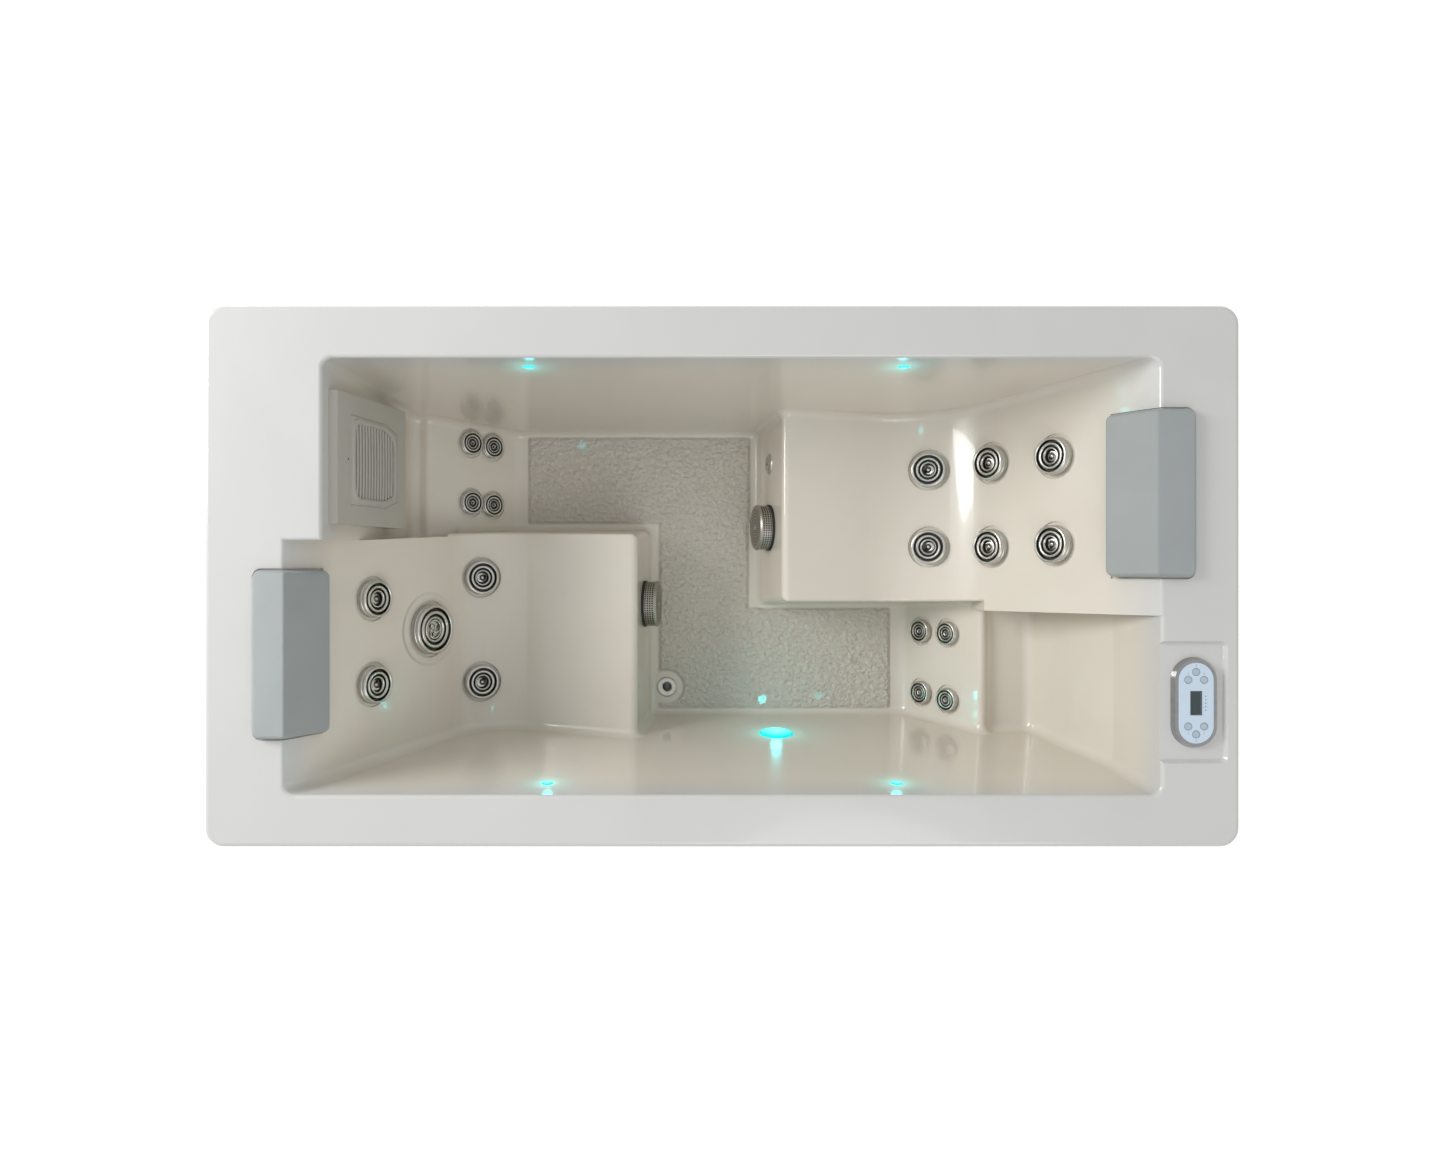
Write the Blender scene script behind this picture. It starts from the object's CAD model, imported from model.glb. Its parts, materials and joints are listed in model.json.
import bpy, json, math, time
import numpy as np
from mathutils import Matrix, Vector


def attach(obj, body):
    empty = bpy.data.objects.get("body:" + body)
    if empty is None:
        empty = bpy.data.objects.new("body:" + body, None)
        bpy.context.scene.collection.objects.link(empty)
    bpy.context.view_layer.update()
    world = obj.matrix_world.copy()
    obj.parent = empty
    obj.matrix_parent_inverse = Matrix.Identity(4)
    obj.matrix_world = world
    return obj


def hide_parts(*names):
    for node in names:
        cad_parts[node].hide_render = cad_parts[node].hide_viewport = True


started = time.time()
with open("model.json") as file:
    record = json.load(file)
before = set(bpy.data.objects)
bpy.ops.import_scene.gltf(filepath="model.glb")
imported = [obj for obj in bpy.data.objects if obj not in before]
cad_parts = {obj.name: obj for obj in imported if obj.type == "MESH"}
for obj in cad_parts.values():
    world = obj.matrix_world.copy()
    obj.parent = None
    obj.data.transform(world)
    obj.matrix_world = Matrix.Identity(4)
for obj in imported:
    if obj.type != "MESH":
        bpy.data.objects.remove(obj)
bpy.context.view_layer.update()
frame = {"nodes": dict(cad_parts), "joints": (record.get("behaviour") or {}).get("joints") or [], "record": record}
nodes = frame["nodes"]
joints = {j["name"]: j for j in frame["joints"]}
rimZ = 0.8


def note(words):
    print(f"{time.time() - started:6.1f} s  {words}")


# Node materials
class Wire:
    # one socket, so that shader maths reads as plain arithmetic
    def __init__(self, sheet, socket):
        self.sheet, self.socket = sheet, socket

    def math(self, kind, *others):
        return self.sheet.node("ShaderNodeMath", dict(enumerate((self,) + others)), operation=kind)

    def __add__(self, other):
        return self.math("ADD", other)

    def __sub__(self, other):
        return self.math("SUBTRACT", other)

    def __rsub__(self, other):
        return self.sheet.node("ShaderNodeMath", {0: other, 1: self}, operation="SUBTRACT")

    def __mul__(self, other):
        return self.math("MULTIPLY", other)

    def __truediv__(self, other):
        return self.math("DIVIDE", other)

    def __pow__(self, other):
        return self.math("POWER", other)

    __radd__, __rmul__ = __add__, __mul__

    def clamped(self):
        return self.sheet.node("ShaderNodeClamp", {"Value": self})

    def step(self, low, high):
        # smooth rise from 0 at low to 1 at high
        return self.sheet.node("ShaderNodeMapRange", {"Value": self, "From Min": low, "From Max": high},
                               interpolation_type="SMOOTHSTEP")


class Sheet:
    # a new material: its shader nodes and its finished surface
    def __init__(self, name):
        self.material = bpy.data.materials.new(name)
        self.material.use_nodes = True
        self.tree = self.material.node_tree
        self.shader = self.tree.nodes["Principled BSDF"]
        place = self.tree.nodes.new("ShaderNodeTexCoord")
        self.place = Wire(self, place.outputs["Object"])
        self.x, self.y, self.z = (self.node("ShaderNodeSeparateXYZ", {0: self.place}, out=k) for k in range(3))

    def node(self, kind, inputs, out=0, **settings):
        new = self.tree.nodes.new(kind)
        for key, value in settings.items():
            setattr(new, key, value)
        for key, value in inputs.items():
            self.plug(new.inputs[key], value)
        return Wire(self, new.outputs[out])

    def plug(self, socket, value):
        if isinstance(value, Wire):
            self.tree.links.new(value.socket, socket)
        else:
            socket.default_value = value

    def noise(self, scale, detail=3.0, rough=0.5, stretch=None, bend=0.0):
        at = self.place if stretch is None else self.node("ShaderNodeMapping", {"Vector": self.place, "Scale": stretch})
        return self.node("ShaderNodeTexNoise", {"Vector": at, "Scale": scale, "Detail": detail, "Roughness": rough,
                                                "Distortion": bend})

    def cells(self, scale, kind="F1", out=0, stretch=None):
        at = self.place if stretch is None else self.node("ShaderNodeMapping", {"Vector": self.place, "Scale": stretch})
        return self.node("ShaderNodeTexVoronoi", {"Vector": at, "Scale": scale}, out=out, feature=kind)

    def blend(self, share, first, second):
        colours = [(*c, 1.0) if isinstance(c, tuple) else c for c in (first, second)]
        return self.node("ShaderNodeMix", {0: share, 6: colours[0], 7: colours[1]}, out=2, data_type="RGBA")

    def finish(self, colour, rough, bump=None, height=0.001, strength=1.0, **uniform):
        self.plug(self.shader.inputs["Base Color"], colour)
        self.plug(self.shader.inputs["Roughness"], rough)
        if bump is not None:
            normal = self.node("ShaderNodeBump", {"Height": bump, "Distance": height, "Strength": strength})
            self.plug(self.shader.inputs["Normal"], normal)
        for key, value in uniform.items():
            self.plug(self.shader.inputs[key.replace("_", " ")], value)
        return self.material


def tinted(colour, factor):
    return tuple(min(1.0, c * factor) for c in colour)


def plainFinish(name, colour, rough=0.45, scale=60.0, change=0.12, height=0.0002, stretch=None, **uniform):
    # moulded, cast or painted surface: mottled colour, uneven gloss and a fine grain
    s = Sheet(name)
    cloud, grain = s.noise(scale * 0.2, 4.0, stretch=stretch), s.noise(scale * 8, 3.0, 0.6, stretch=stretch)
    shade = s.blend(cloud, tinted(colour, 1 - change), tinted(colour, 1 + change))
    return s.finish(shade, rough * (0.8 + 0.4 * cloud), grain, height, **uniform)


# floor panels with a hammered, non-slip pattern: x and y ranges in metres
floorPanels = [((-0.492, 0.108), (0.128, 0.366)), ((-0.142, 0.104), (-0.366, 0.2)), ((-0.142, 0.482), (-0.366, -0.09))]
drainAt = (-0.118, -0.305)
lampPlaces = [(-0.4, 1, 0.065, 0.0125), (0.382, 1, 0.065, 0.0125), (-0.363, -1, 0.075, 0.0125),
              (0.37, -1, 0.075, 0.0125), (0.155, -1, 0.45, 0.0435)]


def wallPoint(x, side, depth):
    return x, side * (0.443 - 69 / 650 * depth), rimZ - depth


def acrylic():
    s = Sheet("pearlAcrylic")
    pearl, veil = s.noise(3.2, 5.0, 0.55, bend=1.2), s.noise(1.1, 2.0)
    depth = (rimZ - s.z).step(-0.01, 0.12)
    rim = s.blend(pearl, (0.55, 0.545, 0.53), (0.61, 0.605, 0.59))
    inside = s.blend(pearl, (0.665, 0.61, 0.525), (0.72, 0.67, 0.59))
    colour = s.blend(depth, rim, inside)
    pattern = s.cells(78.0, "SMOOTH_F1", stretch=(1.0, 1.25, 1.0))
    crinkle = s.noise(95.0, 4.0, 0.6, bend=0.8)
    panels = None
    for (xa, xb), (ya, yb) in floorPanels:
        box = s.x.step(xa, xa + 0.012) * (xb - s.x).step(0, 0.012) * s.y.step(ya, ya + 0.012) * (yb - s.y).step(0, 0.012)
        panels = box if panels is None else panels.math("MAXIMUM", box)
    ring = ((s.x - drainAt[0]) ** 2 + (s.y - drainAt[1]) ** 2).step(0.0016, 0.0026)
    mask = panels * ring * (0.1525 - s.z).step(0, 0.001)
    # the wide, shallow dimple round the whirl jet
    middle = joints["whirl_jet_face_turn"]["pos_m"]
    away = ((s.x - middle[0]) ** 2 + (s.y - middle[1]) ** 2 + (s.z - middle[2]) ** 2) ** 0.5
    relief = (crinkle * 1.9 + pattern * 1.5) * mask + s.noise(22.0, 2.0) * 0.012 + away.step(0.08, 0.09) * 0.8
    colour = s.blend(mask * 0.55 * (1 - crinkle), colour, (0.45, 0.405, 0.36))
    return s.finish(colour, 0.2 + 0.06 * veil + 0.05 * mask, relief, 0.004, Coat_Weight=0.6, Coat_Roughness=0.06,
                    Specular_IOR_Level=0.5, Subsurface_Weight=0.0)


def jetMetal(name, colour=(0.60, 0.59, 0.56), rough=0.2):
    s = Sheet(name)
    haze, scratch = s.noise(90.0, 4.0), s.noise(900.0, 2.0, stretch=(1.0, 0.15, 1.0))
    shade = s.blend(haze, tinted(colour, 0.8), tinted(colour, 1.15))
    return s.finish(shade, rough + 0.14 * haze, scratch, 0.00008, Metallic=1.0)


def pillowSkin():
    s = Sheet("pillowSkin")
    cloud, pores = s.noise(9.0, 4.0), s.cells(1400.0, "DISTANCE_TO_EDGE")
    wrinkle = s.noise(260.0, 4.0, 0.65)
    shade = s.blend(cloud, (0.345, 0.37, 0.365), (0.405, 0.43, 0.425))
    return s.finish(shade, 0.5 + 0.12 * cloud, pores.step(0.0, 0.25) * 0.35 + wrinkle * 0.8, 0.0006, Sheen_Weight=0.15,
                    Sheen_Roughness=0.5)


def lampGlass():
    s = Sheet("lampLens")
    near = None
    for x, side, depth, radius in lampPlaces:
        px, py, pz = wallPoint(x, side, depth)
        away = ((s.x - px) ** 2 + (s.y - py) ** 2 + (s.z - pz) ** 2) ** 0.5
        near = away / radius if near is None else near.math("MINIMUM", away / radius)
    ribs = s.node("ShaderNodeMath", {0: near * 40.0}, operation="SINE")
    glow = s.blend(near.step(0.1, 0.95), (0.25, 0.95, 0.9), (0.0, 0.6, 0.6))
    return s.finish(glow, 0.12 + 0.1 * near, ribs, 0.0003, Emission_Color=glow, Emission_Strength=0.75)


def boards():
    # wood-look boards: long grain that differs from board to board
    s = Sheet("boards")
    board = s.node("ShaderNodeMath", {0: (s.z - 0.006) / 0.092}, operation="FLOOR")
    tone = s.node("ShaderNodeTexWhiteNoise", {"W": board}, noise_dimensions="1D")
    grain = s.node("ShaderNodeTexNoise", {"Vector": s.node("ShaderNodeMapping", {"Vector": s.place, "Scale": (1.0, 1.0, 26.0)}),
                                          "W": board * 7.3, "Scale": 7.0, "Detail": 6.0, "Roughness": 0.62, "Distortion": 0.4},
                   noise_dimensions="4D")
    fine = s.noise(190.0, 3.0, stretch=(0.12, 0.12, 2.5))
    shade = s.blend(grain, (0.045, 0.046, 0.048), (0.15, 0.148, 0.142))
    shade = s.blend(tone * 0.35, shade, (0.10, 0.102, 0.106))
    return s.finish(shade, 0.5 + 0.2 * fine, grain * 0.7 + fine * 0.3, 0.0012)


def displayGlass():
    s = Sheet("displayGlass")
    dots = s.cells(900.0)
    shade = s.blend(dots.step(0.2, 0.6), (0.012, 0.028, 0.03), (0.018, 0.04, 0.042))
    return s.finish(shade, 0.08 + 0.04 * dots, dots, 0.00002, Coat_Weight=0.8, Coat_Roughness=0.02)


finishes = {
    "acrylic": acrylic(), "jet_chrome": jetMetal("jetMetal", (0.66, 0.65, 0.61), 0.24), "cover_steel": jetMetal("coverSteel", (0.46, 0.44, 0.40), 0.34),
    "pillow_skin": pillowSkin(), "lamp_lens": lampGlass(), "skirt_plastic": boards(), "display_plastic": displayGlass(),
    "tray_plastic": plainFinish("trayPlastic", (0.02, 0.02, 0.022), 0.6),
    "frame_steel": plainFinish("frameSteel", (0.42, 0.43, 0.44), 0.35, 40, 0.25, Metallic=0.9),
    "trim_plastic": plainFinish("trimPlastic", (0.045, 0.046, 0.05), 0.5, 80, 0.2, 0.0003),
    "foam_block": plainFinish("foamBlock", (0.75, 0.74, 0.68), 0.85, 90, 0.08, 0.0012),
    "pipe_plastic": plainFinish("pipePlastic", (0.72, 0.73, 0.73), 0.35, 30, 0.06),
    "seal_rubber": plainFinish("sealRubber", (0.018, 0.018, 0.018), 0.7, 120, 0.3),
    "filter_plastic": plainFinish("filterPlastic", (0.46, 0.44, 0.395), 0.42, 50, 0.06, 0.0003, Coat_Weight=0.25),
    "filter_paper": plainFinish("filterPaper", (0.85, 0.85, 0.82), 0.9, 100, 0.05, 0.0006, (1.0, 1.0, 0.05)),
    "panel_plastic": plainFinish("panelPlastic", (0.56, 0.66, 0.76), 0.35, 200, 0.04, 0.0001, Coat_Weight=0.4),
    "button_plastic": plainFinish("buttonPlastic", (0.40, 0.49, 0.55), 0.4, 200, 0.06, 0.0001),
    "pump_plastic": plainFinish("pumpPlastic", (0.02, 0.02, 0.023), 0.5, 60, 0.3),
    "motor_paint": plainFinish("motorPaint", (0.03, 0.05, 0.10), 0.4, 50, 0.2, 0.0004),
    "box_plastic": plainFinish("boxPlastic", (0.30, 0.31, 0.32), 0.55, 70, 0.08, 0.0004),
}
darkHole = plainFinish("darkHole", (0.006, 0.006, 0.006), 0.8, 80, 0.3)
darkMetal = jetMetal("darkMetal", (0.10, 0.098, 0.09), 0.36)
inkGrey = plainFinish("inkGrey", (0.05, 0.06, 0.075), 0.5, 300, 0.1, 0.00002)
bezel = jetMetal("bezel", (0.42, 0.42, 0.42), 0.1)
slotOf = {p["node"]: p["material_slot"] for p in frame["record"]["subparts"]}
for name, piece in nodes.items():
    for held in piece.material_slots:
        held.link = "OBJECT"
        held.material = bezel if name == "panel_base" else finishes[slotOf[name]]
note("materials")


# Surfaces from arrays
def sheetOf(points, closeU=False, closeV=False):
    # quads over a grid of points (rows u, columns v), wrapped where closed
    points = np.asarray(points, float)
    nu, nv = points.shape[:2]
    index = np.arange(nu * nv).reshape(nu, nv)
    if closeU:
        index = np.vstack([index, index[:1]])
    if closeV:
        index = np.hstack([index, index[:, :1]])
    quads = np.stack([index[:-1, :-1], index[1:, :-1], index[1:, 1:], index[:-1, 1:]], -1).reshape(-1, 4)
    return points.reshape(-1, 3), quads


def turned(profile, around=96, ripple=None):
    # profile of (radius, height) rows turned round z; ripple scales the radius by row and angle
    profile = np.asarray(profile, float)
    angle = np.linspace(0, 2 * np.pi, around, endpoint=False)
    radius = profile[:, :1] * (1 if ripple is None else ripple(profile[:, 1:], angle[None, :]))
    height = np.repeat(profile[:, 1:], around, 1)
    return sheetOf(np.stack([radius * np.cos(angle), radius * np.sin(angle), height], -1), closeV=True)


def shifted(part, origin=(0, 0, 0), xDir=(1, 0, 0), zDir=(0, 0, 1)):
    x, z = np.asarray(xDir, float), np.asarray(zDir, float)
    z = z / np.linalg.norm(z)
    x = x - z * (x @ z)
    x = x / np.linalg.norm(x)
    return part[0] @ np.array([x, np.cross(z, x), z]) + np.asarray(origin), part[1]


def build(name, parts, body, replaced=(), sharp=38):
    # one mesh object from several (part, material) pairs, in the row frame
    mesh = bpy.data.meshes.new(name)
    materials, points, faces, kinds, base = [], [], [], [], 0
    for (at, quads), material in parts:
        if material not in materials:
            materials.append(material)
        points.append(at)
        faces.append(quads + base)
        kinds += [materials.index(material)] * len(quads)
        base += len(at)
    mesh.from_pydata(np.concatenate(points).tolist(), [], np.concatenate(faces).tolist())
    for material in materials:
        mesh.materials.append(material)
    mesh.polygons.foreach_set("material_index", kinds)
    mesh.polygons.foreach_set("use_smooth", [True] * len(kinds))
    mesh.set_sharp_from_angle(angle=math.radians(sharp))
    mesh.update()
    piece = bpy.data.objects.new(name, mesh)
    bpy.context.scene.collection.objects.link(piece)
    if replaced:
        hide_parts(*replaced)
    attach(piece, body)
    return piece


# Jets
metal = finishes["jet_chrome"]
# radius and height as shares of the face's radius and height: the side, then rings and the grooves between them
side = [(0.90, 0.0), (0.985, 0.02), (1.0, 0.08), (1.0, 0.5), (0.985, 0.54), (0.96, 0.56), (0.96, 0.61), (0.985, 0.64)]
rings = [[(0.985, 0.64), (0.995, 0.74), (0.985, 0.87), (0.955, 0.96), (0.91, 1.0), (0.865, 0.985), (0.835, 0.92)],
         [(0.72, 0.76), (0.71, 0.87), (0.675, 0.945), (0.63, 0.96), (0.59, 0.94), (0.565, 0.86)],
         [(0.475, 0.68), (0.465, 0.80), (0.44, 0.86), (0.40, 0.87), (0.37, 0.82), (0.355, 0.70)]]
grooves = [[(0.835, 0.92), (0.815, 0.7), (0.79, 0.6), (0.745, 0.6), (0.72, 0.76)],
           [(0.565, 0.86), (0.555, 0.66), (0.53, 0.56), (0.495, 0.56), (0.475, 0.68)]]
knurlCount = 44


def knurled(height):
    def ripple(z, angle):
        band = np.clip((0.38 * height - z) / (0.05 * height), 0, 1) * np.clip((z - 0.05 * height) / (0.05 * height), 0, 1)
        return 1 - 0.022 * band * (0.5 + 0.5 * np.cos(knurlCount * angle))
    return ripple


def faceRings(size, low, high, cup):
    # the whole turned face as (part, material) pairs
    radius, height = size / 2, high - low
    lines = [(side, metal)] + [(line, metal) for line in rings] + [(line, darkMetal) for line in grooves]
    parts = []
    for line, material in lines + [([rings[2][-1]] + cup, darkMetal)]:
        at, quads = turned([(r * radius, z * height) for r, z in line], 176, knurled(height) if line is side else None)
        parts.append(((at + (0, 0, low), quads), material))
    return parts


def blade(radius, low, high, start, sweep, wide):
    # crescent blade: an arc that thins to both ends and climbs from low to high
    t = np.linspace(0, 1, 28)[:, None]
    angle = start + sweep * t
    half = wide * radius * np.sin(np.pi * np.clip(t, 0.02, 0.98)) ** 0.7
    middle = radius * (0.62 + 0.12 * np.sin(np.pi * t))
    side = np.array([-1, -1, -0.4, 0.4, 1, 1])[None, :]
    top = low + (high - low) * (0.45 + 0.55 * t)
    height = np.where(np.array([1, 0, 0, 0, 0, 1])[None, :] == 1, low, top - (high - low) * 0.1 * np.abs(side))
    r = middle + half * side
    return sheetOf(np.stack([r * np.cos(angle), r * np.sin(angle), height], -1))


def jetFace(name, size, joint, turn):
    low, high = 0.0023, 0.002 + size * 0.27
    radius, height = size / 2, high - low
    cup = [(0.345, 0.5), (0.33, 0.38), (0.29, 0.33), (0.18, 0.32), (0.0001, 0.32)]
    parts = faceRings(size, low, high, cup)
    floorZ, cupR = low + 0.32 * height, 0.33 * radius
    if size > 0.07:
        parts.append((blade(cupR, floorZ, floorZ + 0.5 * height, turn, 3.9, 0.22), metal))
        parts.append((turned([(cupR * 0.36, floorZ), (cupR * 0.33, floorZ + 0.25 * height),
                              (cupR * 0.2, floorZ + 0.36 * height), (0.00001, floorZ + 0.38 * height)], 32), metal))
        hole = turned([(cupR * 0.3, floorZ), (cupR * 0.3, floorZ + 0.0004), (0.00001, floorZ + 0.0004)], 24)
        spot = cupR * 0.62
        parts.append(((hole[0] + (spot * math.cos(turn - 0.7), spot * math.sin(turn - 0.7), 0.0002), hole[1]), darkHole))
    else:
        parts.append((turned([(cupR * 0.62, floorZ), (cupR * 0.6, floorZ + 0.4 * height),
                              (cupR * 0.5, floorZ + 0.5 * height), (cupR * 0.38, floorZ + 0.48 * height),
                              (cupR * 0.34, floorZ + 0.2 * height), (0.00001, floorZ + 0.2 * height)], 40), metal))
        parts.append((turned([(cupR * 0.30, floorZ + 0.202 * height), (0.00001, floorZ + 0.202 * height)], 24), darkHole))
    spot = joints[joint]
    placed = [(shifted(part, spot["pos_m"], (0, 1, 0), spot["axis"]), material) for part, material in parts]
    return build(name + "_dress", placed, name, (name,))


turns = {"right": 2.6, "left": -0.6}
for name in nodes:
    if "_jet_" in name and name[-1] in "ab" and "bodies" not in name:
        jetFace(name, 0.06 if "foot" in name else 0.085, name + "_turn", turns[name.split("_")[0]] + 0.5 * (name[-1] == "b"))
note("jets")


# Whirl jet: ringed face and a three-port rotor
whirl = joints["whirl_jet_face_turn"]
size, low = 0.12, 0.0023
high = 0.002 + size * 0.2
wideRings = [rings, grooves, side]
shrink = lambda line: [(0.42 + (r - 0.355) * 0.58 / 0.645, z) for r, z in line]
rings, grooves, side = [shrink(line) for line in rings], [shrink(line) for line in grooves], shrink(side)
face = faceRings(size, low, high, [(0.405, 0.62), (0.405, -0.9)])
rings, grooves, side = wideRings
build("whirl_jet_dress", [(shifted(part, whirl["pos_m"], (0, 1, 0), whirl["axis"]), kind) for part, kind in face],
      "whirl_jet_face", ("whirl_jet_face",))

rotorR, rotorZ = 0.0237, high - 0.0062
spiral = np.linspace(0, 1, 40)
parts = [(turned([(rotorR, -0.011), (rotorR, rotorZ - 0.002), (rotorR * 0.96, rotorZ), (rotorR * 0.86, rotorZ - 0.0004),
                  (rotorR * 0.8, rotorZ - 0.007), (0.00001, rotorZ - 0.007)], 96), metal)]
for k in range(3):
    turn = k * 2 * np.pi / 3 + 0.5
    # a thin wall that curls from the middle to the rim
    angle = turn + 2.3 * spiral ** 0.8
    radius = rotorR * (0.06 + 0.82 * spiral)
    across = np.array([-1, -1, -0.5, 0.5, 1, 1])
    wide = rotorR * (0.05 + 0.03 * np.sin(np.pi * spiral))
    lift = rotorZ - 0.007 + np.where(np.array([1, 0, 0, 0, 0, 1]) == 1, 0, 0.0075)[None, :] * np.ones((40, 1))
    lift = lift - 0.0006 * np.abs(across)[None, :] * (lift > rotorZ - 0.006)
    cx, cy = radius * np.cos(angle), radius * np.sin(angle)
    tx, ty = np.gradient(cx), np.gradient(cy)
    norm = np.hypot(tx, ty)
    px = cx[:, None] + across[None, :] * (wide * -ty / norm)[:, None]
    py = cy[:, None] + across[None, :] * (wide * tx / norm)[:, None]
    parts.append((sheetOf(np.stack([px, py, lift], -1)), metal))
    spot, hole = turn + 2.45, rotorR * 0.56
    port = turned([(rotorR * 0.2, 0), (rotorR * 0.2, 0.0006), (rotorR * 0.16, 0.0003), (0.00001, 0.0003)], 32)
    parts.append(((port[0] + (hole * math.cos(spot), hole * math.sin(spot), rotorZ - 0.0068), port[1]), darkHole))
build("whirl_rotor_dress", [(shifted(p, whirl["pos_m"], (0, 1, 0), whirl["axis"]), m) for p, m in parts],
      "whirl_jet_rotor", ("whirl_jet_rotor",))


# Suction covers
def pierced(cellsU, cellsV, share, surface):
    # a sheet of square cells, each with a round hole; surface turns u and v (0 to 1) into points
    corner = np.array([(-1, -1), (0, -1), (1, -1), (1, 0), (1, 1), (0, 1), (-1, 1), (-1, 0)]) / 2
    circle = corner / np.linalg.norm(corner, axis=1, keepdims=True) * share
    middle = np.stack(np.meshgrid(np.arange(cellsU), np.arange(cellsV), indexing="ij"), -1).reshape(-1, 1, 2) + 0.5
    shared = np.concatenate([middle + corner, middle + circle], 1) / (cellsU, cellsV)
    ring = np.arange(8)
    quads = np.stack([ring, (ring + 1) % 8, (ring + 1) % 8 + 8, ring + 8], -1)
    faces = (quads[None] + 16 * np.arange(cellsU * cellsV)[:, None, None]).reshape(-1, 4)
    return surface(shared.reshape(-1, 2)[:, 0], shared.reshape(-1, 2)[:, 1]), faces


def frontPlane(y, top, foot):
    # place on a seat front at the fittings' depth: point and outward direction
    (tx, td), (fx, fd) = top, foot
    x = tx + (0.54 - td) / (fd - td) * (fx - tx)
    along = np.array([tx - fx, fd - td]) / math.hypot(tx - fx, fd - td)
    side = 1 if fx > tx else -1
    return (x, y, rimZ - 0.54), (along[1] * side, 0, -along[0] * side)


leftFront, rightFront = ((-0.19, 0.414), (-0.161, 0.65)), ((0.168, 0.413), (0.127, 0.65))
steel, rubber = finishes["cover_steel"], finishes["seal_rubber"]
cups = []
for place in (frontPlane(-0.078, *leftFront), frontPlane(0.117, *rightFront)):
    r, deep = 0.059, 0.038
    wall = pierced(60, 4, 0.36, lambda u, v: np.stack([(r - 0.0022) * np.cos(2 * np.pi * u),
                                                       (r - 0.0022) * np.sin(2 * np.pi * u), 0.007 + 0.024 * v], -1))
    pieces = [(wall, steel), (turned([(r - 0.005, 0.006), (r - 0.005, deep - 0.006)], 72), darkHole)]
    pieces.append((turned([(r - 0.004, 0), (r, 0.0005), (r, 0.0055), (r - 0.001, 0.007), (r - 0.004, 0.0072)], 96), rubber))
    pieces.append((turned([(r - 0.004, 0.0308), (r - 0.0008, 0.031), (r - 0.0004, 0.0335), (r - 0.0035, deep - 0.0008),
                           (r - 0.008, deep), (r - 0.0105, deep - 0.0006)], 96), steel))
    for k, holes in enumerate((16, 24, 32, 40, 48)):
        inner, outer = 0.0085 + 0.008 * k, 0.0085 + 0.008 * (k + 1)
        pieces.append((pierced(holes, 1, 0.28, lambda u, v: np.stack([(inner + (outer - inner) * v) * np.cos(2 * np.pi * u),
                                                                       (inner + (outer - inner) * v) * np.sin(2 * np.pi * u),
                                                                       0 * u + deep - 0.0006], -1)), steel))
    pieces.append((turned([(0.0485, deep - 0.003), (0.00001, deep - 0.003)], 48), darkHole))
    pieces.append((turned([(0.0088, deep - 0.0006), (0.0078, deep + 0.0002), (0.006, deep + 0.0002), (0.0055, deep - 0.001),
                           (0.00001, deep - 0.001)], 40), steel))
    cups += [(shifted(p, place[0], (0, 1, 0), place[1]), m) for p, m in pieces]
build("suction_covers_dress", cups, "tub", ("suction_covers",))
note("fittings")


# Filter grille
pull = joints["filter_grille_pull"]["axis"]
topX, topD, footX, footD, midD = -0.7875, 0.03, -0.731, 0.334, 0.188
grilleAt = (topX + (midD - topD) / (footD - topD) * (footX - topX), 0.245, rimZ - midD)
plastic = finishes["filter_plastic"]


def grilleEdge(inset, reach=44, count=160):
    # outline of the grille, narrower towards its foot, with rounded corners; points and outward directions
    top, foot, half = 0.095 - inset, 0.078 - inset, 0.104 - inset
    shoulder = -half * 0.45
    corners = np.array([(-top, half), (top, half), (top, shoulder), (foot, -half), (-foot, -half), (-top, shoulder)])
    t = np.linspace(0, len(corners), count * 8, endpoint=False)
    k = t.astype(int)
    line = corners[k] + (corners[(k + 1) % 6] - corners[k]) * (t - k)[:, None]
    line = sum(np.roll(line, s, 0) for s in range(-reach, reach + 1)) / (2 * reach + 1)
    return line[::8]


rows = []
for inset, rise, reach in ((0.0003, -0.009, 5), (0.0003, -0.0003, 5), (0.0008, 0.0, 6), (0.004, 0.0002, 44),
                           (0.0052, 0.0024, 44), (0.008, 0.0034, 44), (0.012, 0.0034, 44), (0.0145, 0.0022, 44),
                           (0.0155, -0.001, 44), (0.0155, -0.009, 44)):
    edge = grilleEdge(inset, reach)
    rows.append(np.column_stack([edge, np.full(len(edge), rise)]))
parts = [(sheetOf(np.stack(rows), closeV=True), plastic)]
slats = 14
pitch = 0.18 / slats
bar = np.array([(-0.5, -0.006), (-0.5, -0.0012), (-0.35, 0.0), (0, 0.0006), (0.35, 0.0), (0.5, -0.0012), (0.5, -0.006)])
for k in range(slats + 1):
    y = (k - slats / 2) * pitch
    edge = grilleEdge(0.0145)
    near = np.abs(edge[:, 0][np.argsort(np.abs(edge[:, 1] - y))[:6]]).min() if abs(y) < 0.091 else 0.06
    t = np.linspace(-near, near, 25)
    bow = -0.004 * (1 - (t / near) ** 2) * 0.6
    rowsOf = np.stack([np.repeat(t[:, None], 7, 1), y + bow[:, None] + bar[None, :, 0] * pitch * 0.52,
                       np.repeat(bar[None, :, 1], 25, 0)], -1)
    parts.append((sheetOf(rowsOf), plastic))
backing = grilleEdge(0.012)
parts.append((sheetOf(np.stack([np.column_stack([backing * s, np.full(len(backing), -0.0075)]) for s in (1.0, 0.0001)]),
                      closeV=True), darkHole))
build("filter_grille_dress", [(shifted(p, grilleAt, (0, 1, 0), pull), m) for p, m in parts], "filter_grille",
      ("filter_grille",))
vent = turned([(0.0052, 0), (0.0048, 0.0008), (0.0036, 0.0008), (0.003, 0.0001)], 4)
hole = turned([(0.0031, 0.0003), (0.00001, 0.0003)], 4)
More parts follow.
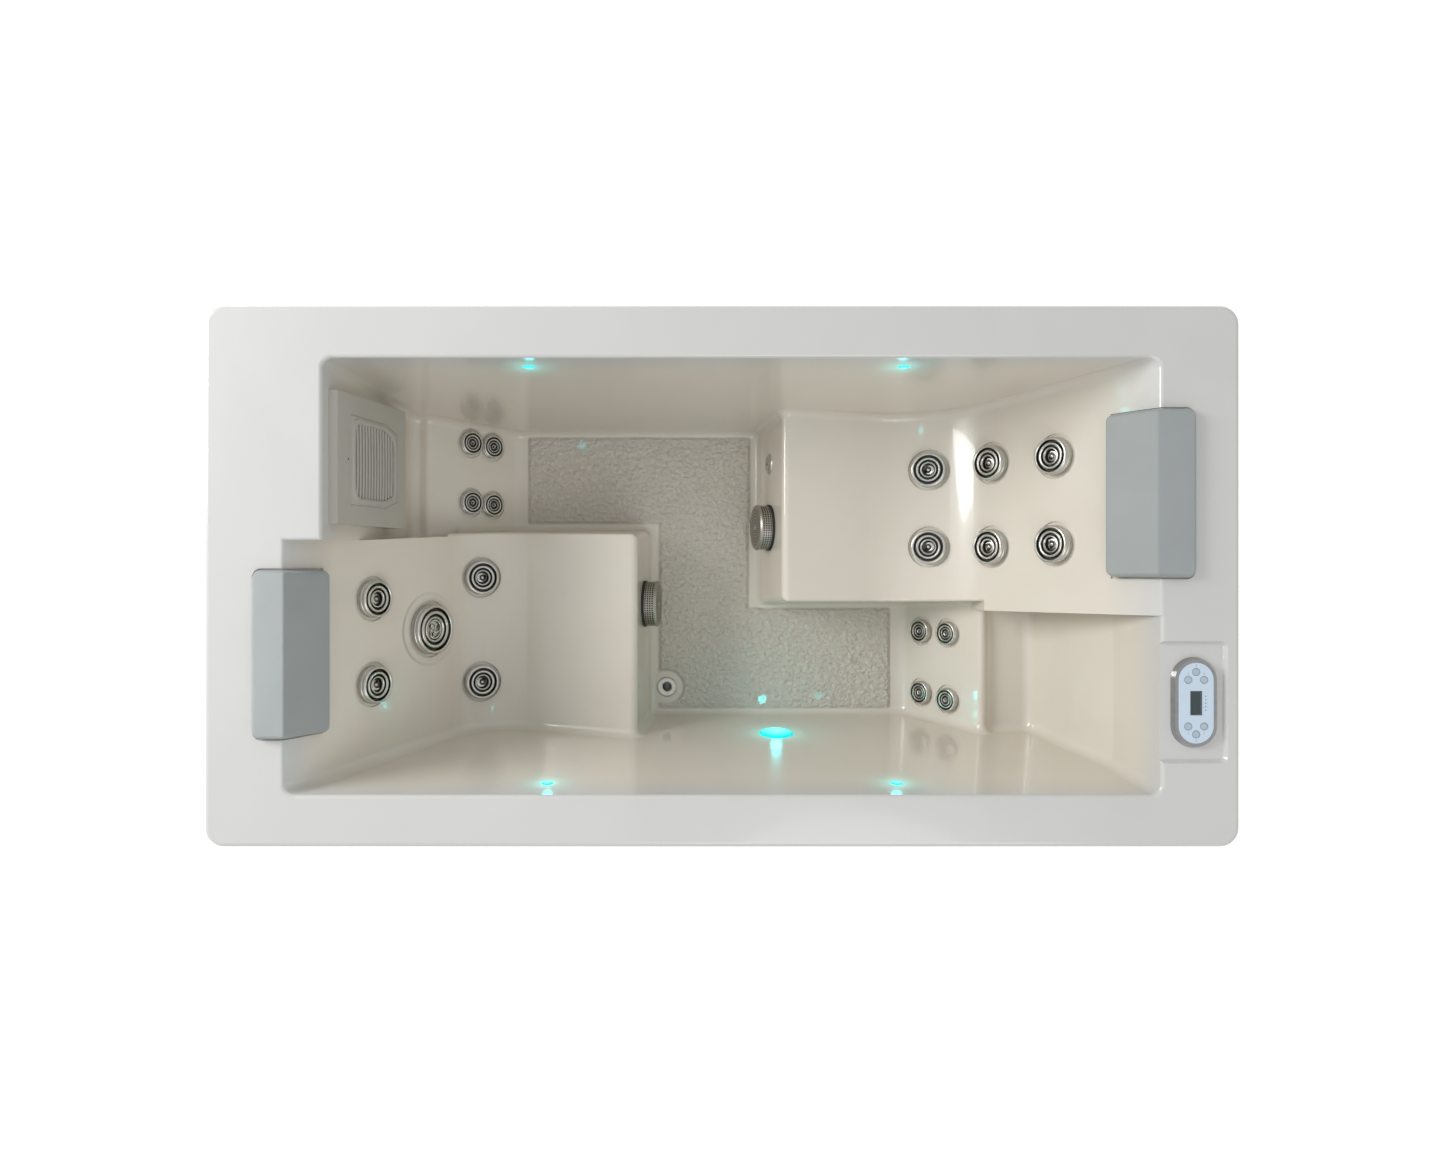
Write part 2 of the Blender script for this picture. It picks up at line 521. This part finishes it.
ventAt = np.array(grilleAt) + np.array([-pull[2], 0, pull[0]]) * 0.118
build("filter_latch", [(shifted(vent, ventAt, (0, 1, 1), pull), plastic), (shifted(hole, ventAt, (0, 1, 1), pull), darkHole)],
      "tub")
note("filter")


# Control panel marks
panelAt = np.array((0.957, -0.256, rimZ - 0.009 + 0.012))
buttons = [(-0.016, 0.047), (0.0, 0.063), (0.016, 0.047), (-0.016, -0.047), (0.0, -0.063), (0.016, -0.047)]
marks = []
for x, y in buttons:
    ring = turned([(0.0079, 0.00002), (0.0078, 0.00012), (0.0073, 0.00012), (0.0072, 0.00002)], 64)
    marks.append(((ring[0] + panelAt + (x, y, 0), ring[1]), inkGrey))
    # a plain tick beside each button, pointing away from the display
    away = math.copysign(0.0125, y)
    tick = np.array([[(-0.0003, -0.002, 0.0001), (0.0003, -0.002, 0.0001)], [(-0.0003, 0.002, 0.0001), (0.0003, 0.002, 0.0001)]])
    marks.append(((tick.reshape(-1, 3) + panelAt + (x, y + away, 0), np.array([[0, 1, 3, 2]])), inkGrey))
for k in range(5):
    dot = turned([(0.0011, 0.00005), (0.0009, 0.0004), (0.00001, 0.0005)], 20)
    marks.append(((dot[0] + panelAt + (0.0195, -0.014 + 0.007 * k, 0), dot[1]), inkGrey))
build("panel_marks", marks, "tub")
frameRows = []
for dx, dz in ((0.0118, 0.0), (0.0114, 0.0007), (0.0104, 0.0007), (0.0099, 0.00005)):
    dy = dx + 0.0127
    frameRows.append([(dx, dy, dz), (-dx, dy, dz), (-dx, -dy, dz), (dx, -dy, dz)])
build("display_frame", [((sheetOf(frameRows, closeV=True)[0] + panelAt, sheetOf(frameRows, closeV=True)[1]), inkGrey)], "tub")


# Pillows
def eased(line, count, reach):
    # a polyline sampled evenly, with its corners eased over a share of its length
    line = np.asarray(line, float)
    length = np.concatenate([[0], np.cumsum(np.linalg.norm(np.diff(line, axis=0), axis=1))])
    t = np.linspace(0, length[-1], 600)
    fine = np.column_stack([np.interp(t, length, line[:, k]) for k in (0, 1)])
    pad = np.pad(fine, ((reach, reach), (0, 0)), "reflect", reflect_type="odd")
    fine = np.array([pad[k:k + 2 * reach + 1].mean(0) for k in range(600)])
    return lambda share: np.column_stack([np.interp(share * t[-1], t, fine[:, k]) for k in (0, 1)]), t[-1]


def pillow(name, node, top, bed, middle):
    # crowned foam cushion bent over the rim: top and bed are (x, z) lines, from the rim inwards
    topLine, topLong = eased(top, 600, 8)
    bedLine, bedLong = eased(bed, 600, 10)
    half, corner, edgeR = 0.1713, 0.017, 0.0095
    spread = (1 - np.cos(np.linspace(0, np.pi, 90))) / 2
    a = (spread * 0.55 + np.linspace(0, 1, 90) * 0.45) * topLong
    b = (1 - np.cos(np.linspace(0, np.pi, 110))) * 0.55 / 2 + np.linspace(0, 1, 110) * 0.45
    b = b * 2 - 1
    ends = np.minimum(a, topLong - a)
    inset = np.where(ends < corner, corner - np.sqrt(np.maximum(corner ** 2 - (corner - ends) ** 2, 0)), 0)
    drawn = 0.0016 * (1 - (2 * a / topLong - 1) ** 2)
    width = half - inset - drawn
    B = width[:, None] * b[None, :]
    A = np.repeat(a[:, None], 110, 1)
    bow = 0.002 * (b[None, :] ** 2) * np.where(a < topLong / 2, 1, -1)[:, None]
    A = np.clip(A + bow * np.abs(2 * a / topLong - 1)[:, None] ** 6, 0, topLong)
    gapA, gapB = np.minimum(A, topLong - A), width[:, None] * (1 - np.abs(b)[None, :])
    near = edgeR - np.hypot(np.maximum(edgeR - gapA, 0), np.maximum(edgeR - gapB, 0))
    near = np.clip(near, 0, edgeR)
    rounding = np.sqrt(np.maximum(edgeR ** 2 - (edgeR - near) ** 2, 0)) / edgeR
    crown = 0.0026 * (1 - (2 * A / topLong - 1) ** 4) * (1 - b[None, :] ** 4)
    upper, lower = topLine((A / topLong).ravel()), bedLine((A / topLong).ravel())
    across = upper - lower
    thick = np.linalg.norm(across, axis=1, keepdims=True)
    across = across / thick
    side = (0.32 * thick).ravel()
    forTop = side + (thick.ravel() - side) * rounding.ravel() + crown.ravel() * rounding.ravel()
    forBed = side * (1 - rounding.ravel()) + 0.0003
    layers = []
    for rise in (forTop, forBed):
        flat = lower + across * rise[:, None]
        layers.append(np.column_stack([flat[:, 0], (B + middle).ravel(), flat[:, 1]]).reshape(90, 110, 3))
    rimOf = lambda g: np.concatenate([g[0], g[1:, -1], g[-1, -2::-1], g[-2:0:-1, 0]])
    parts = [(sheetOf(layers[0]), finishes["pillow_skin"]), (sheetOf(layers[1]), finishes["pillow_skin"])]
    parts.append((sheetOf(np.stack([rimOf(layers[0]), rimOf(layers[1])]), closeV=True), finishes["pillow_skin"]))
    piece = build(name, parts, "tub", (node,), sharp=60)
    weld = piece.modifiers.new("weld", "WELD")
    weld.merge_threshold = 0.00005
    return piece


def pillowLines(end, fold, low, rim, slope):
    # outer line, and the line of the bedding under it, as (x, z) in metres
    side = math.copysign(1, end[0])
    slope = math.radians(slope)
    normal = np.array([side * math.sin(slope), math.cos(slope)])
    foot = np.array(low) - normal * (low[1] - abs(rim - low[0]) * math.tan(slope)) * math.cos(slope)
    along = np.array([side * math.cos(slope), -math.sin(slope)])
    bed = 0.005 - 0.0006
    foot = foot + normal * bed
    inner = foot + along * (bed - foot[1]) / along[1]
    bedding = [(end[0], bed), tuple(inner), tuple(foot)]
    return [(x, rimZ - d) for x, d in (end, fold, low)], [(x, rimZ - d) for x, d in bedding]


for name, points, rim, slope, middle in (
        ("right_pillow", [(0.955, -0.016), (0.868, -0.026), (0.803, 0.076)], 0.889, 56.8, 0.168),
        ("left_pillow", [(-0.948, -0.016), (-0.877, -0.026), (-0.813, 0.072)], -0.889, 60.0, -0.158)):
    top, bed = pillowLines(*points, rim, slope)
    pillow(name + "_dress", name, top, bed, middle)
note("pillows")


# Room and light
def lamp(name, at, towards, size, power, colour=(1, 1, 1)):
    light = bpy.data.lights.new(name, "AREA")
    light.shape, light.size, light.energy, light.color = "DISK", size, power, colour
    holder = bpy.data.objects.new(name, light)
    bpy.context.scene.collection.objects.link(holder)
    holder.location = at
    aim = np.asarray(towards, float) - at
    holder.rotation_euler = Vector(aim).to_track_quat("-Z", "Y").to_euler()


lamp("keySoft", (-3.6, 1.3, 2.6), (0.3, 0, 0.5), 2.0, 130)
lamp("fillSoft", (0.9, -2.6, 4.2), (0, 0, 0.5), 2.6, 34)
for x, side, depth, radius in lampPlaces:
    px, py, pz = wallPoint(x, side, depth)
    light = bpy.data.lights.new("glow", "POINT")
    light.energy, light.color, light.shadow_soft_size = 0.05 * radius / 0.0125, (0.02, 0.9, 0.9), 0.012
    holder = bpy.data.objects.new("glow", light)
    bpy.context.scene.collection.objects.link(holder)
    holder.location = (px, py - side * 0.028, pz + 0.004)

camera = bpy.data.objects.new("camera", bpy.data.cameras.new("camera"))
bpy.context.scene.collection.objects.link(camera)
camera.location = (-0.091, 0.029, rimZ + 2.0)
camera.data.sensor_width, camera.data.lens = 36, 36 * 989.3 / 1440
camera.data.shift_x, camera.data.shift_y = 43 / 1440, -14 / 1440
bpy.context.scene.camera = camera
bpy.context.scene.view_settings.view_transform = "Standard"

world = bpy.data.worlds.new("studio")
world.use_nodes = True
bpy.context.scene.world = world
tree = world.node_tree
path, back = tree.nodes.new("ShaderNodeLightPath"), tree.nodes["Background"]
mixed = tree.nodes.new("ShaderNodeMix")
mixed.data_type = "RGBA"
mixed.inputs[6].default_value, mixed.inputs[7].default_value = (0.66, 0.67, 0.68, 1), (1, 1, 1, 1)
tree.links.new(path.outputs["Is Camera Ray"], mixed.inputs[0])
tree.links.new(mixed.outputs[2], back.inputs["Color"])

floorMesh = bpy.data.meshes.new("floor")
floorMesh.from_pydata([(-9, -9, 0), (9, -9, 0), (9, 9, 0), (-9, 9, 0)], [], [(0, 1, 2, 3)])
floor = bpy.data.objects.new("floor", floorMesh)
bpy.context.scene.collection.objects.link(floor)
s = Sheet("floorPaper")
fibre = s.noise(40.0, 3.0)
s.finish(s.blend(fibre, (0.8, 0.8, 0.8), (0.84, 0.84, 0.84)), 0.9, Emission_Color=(1, 1, 1, 1), Emission_Strength=0.75)
floorMesh.materials.append(s.material)
note("room")
